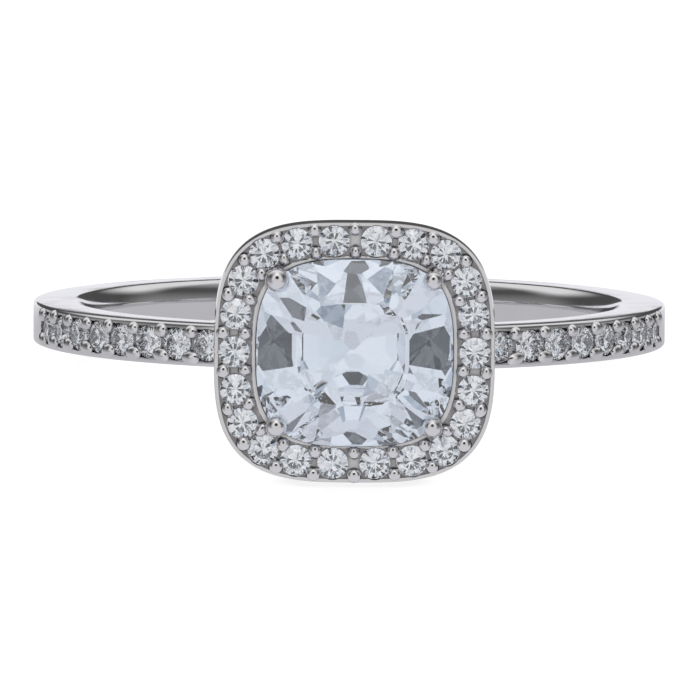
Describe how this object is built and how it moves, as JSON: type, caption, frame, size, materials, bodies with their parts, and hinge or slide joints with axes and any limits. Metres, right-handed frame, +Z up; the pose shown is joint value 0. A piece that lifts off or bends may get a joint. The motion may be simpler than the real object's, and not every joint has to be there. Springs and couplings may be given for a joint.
{
  "type": "halo engagement ring",
  "caption": "Finger ring in polished white metal: a cushion-cut clear stone held by claws, a cushion-shaped halo of small round stones and a row of small stones on each shoulder.",
  "frame": {"origin": "middle of the ring's box on the table that it lies on", "axes": "+Z up from the table, -Y the way the head faces, +X to the right of the head"},
  "size_m": [0.0204, 0.0226, 0.0082],
  "materials": {
    "white_metal": "polished white gold",
    "centre_stone": "cut and polished, colourless with a cool tint",
    "small_stone": "cut and polished, colourless"
  },
  "bodies": {
    "root": {"band_and_setting": "white_metal", "centre_stone": "centre_stone", "halo_stone_01": "small_stone", "halo_stone_02": "small_stone", "halo_stone_03": "small_stone", "halo_stone_04": "small_stone", "halo_stone_05": "small_stone", "halo_stone_06": "small_stone", "halo_stone_07": "small_stone", "halo_stone_08": "small_stone", "halo_stone_09": "small_stone", "halo_stone_10": "small_stone", "halo_stone_11": "small_stone", "halo_stone_12": "small_stone", "halo_stone_13": "small_stone", "halo_stone_14": "small_stone", "halo_stone_15": "small_stone", "halo_stone_16": "small_stone", "halo_stone_17": "small_stone", "halo_stone_18": "small_stone", "halo_stone_19": "small_stone", "halo_stone_20": "small_stone", "halo_stone_21": "small_stone", "halo_stone_22": "small_stone", "left_shoulder_stone_1": "small_stone", "left_shoulder_stone_2": "small_stone", "left_shoulder_stone_3": "small_stone", "left_shoulder_stone_4": "small_stone", "left_shoulder_stone_5": "small_stone", "left_shoulder_stone_6": "small_stone", "left_shoulder_stone_7": "small_stone", "left_shoulder_stone_8": "small_stone", "right_shoulder_stone_1": "small_stone", "right_shoulder_stone_2": "small_stone", "right_shoulder_stone_3": "small_stone", "right_shoulder_stone_4": "small_stone", "right_shoulder_stone_5": "small_stone", "right_shoulder_stone_6": "small_stone", "right_shoulder_stone_7": "small_stone", "right_shoulder_stone_8": "small_stone"}
  },
  "joints": []
}
